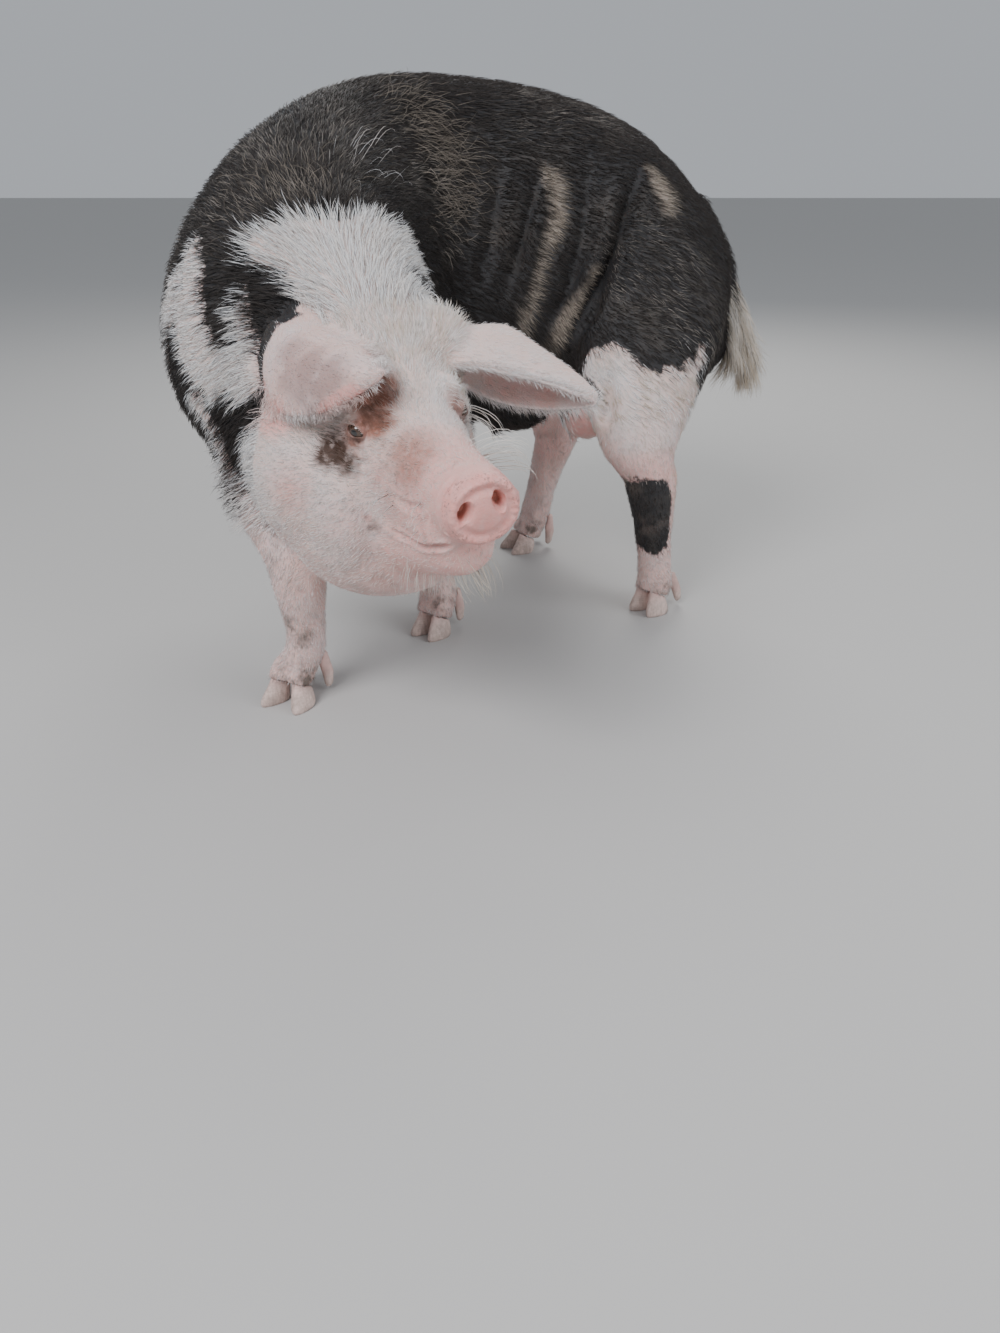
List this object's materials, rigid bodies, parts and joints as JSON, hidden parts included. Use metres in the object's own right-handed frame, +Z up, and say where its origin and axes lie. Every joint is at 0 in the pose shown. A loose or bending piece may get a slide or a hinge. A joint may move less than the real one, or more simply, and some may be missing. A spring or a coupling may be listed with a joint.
{
  "type": "sow",
  "caption": "Life-size standing sow with its body bent round to the left, head lowered and lop ears, resting on its hooves.",
  "frame": {"origin": "middle of the bottom of the whole body's box, on the floor between the feet", "axes": "+Z up. The rump points to +X, the back bends round by way of -X, and the head looks to -Y and a little to +X."},
  "size_m": [0.9864, 1.1134, 0.8912],
  "materials": {
    "pale_hide": "pink-white skin under sparse white bristle",
    "dark_hide": "black-grey skin under black and grey bristle, with pale streaks",
    "ear_skin": "thin grey-pink ear skin with fine white hair",
    "snout_skin": "moist pink snout skin",
    "tail_hair": "dark root and a tan and white tuft",
    "horn": "dull pale horn with dirt",
    "eye": "wet dark eye"
  },
  "bodies": {
    "root": {"belly": "dark_hide", "chest": "dark_hide", "dewclaw_front_left_left": "horn", "dewclaw_front_left_right": "horn", "dewclaw_front_right_left": "horn", "dewclaw_front_right_right": "horn", "dewclaw_hind_left_left": "horn", "dewclaw_hind_left_right": "horn", "dewclaw_hind_right_left": "horn", "dewclaw_hind_right_right": "horn", "ear_left": "ear_skin", "ear_right": "ear_skin", "eye_left": "eye", "eye_right": "eye", "head": "pale_hide", "hoof_front_left_left": "horn", "hoof_front_left_right": "horn", "hoof_front_right_left": "horn", "hoof_front_right_right": "horn", "hoof_hind_left_left": "horn", "hoof_hind_left_right": "horn", "hoof_hind_right_left": "horn", "hoof_hind_right_right": "horn", "leg_front_left": "pale_hide", "leg_front_right": "pale_hide", "leg_hind_left": "pale_hide", "leg_hind_right": "pale_hide", "neck": "pale_hide", "rump": "dark_hide", "snout": "snout_skin", "tail": "tail_hair"}
  },
  "joints": []
}
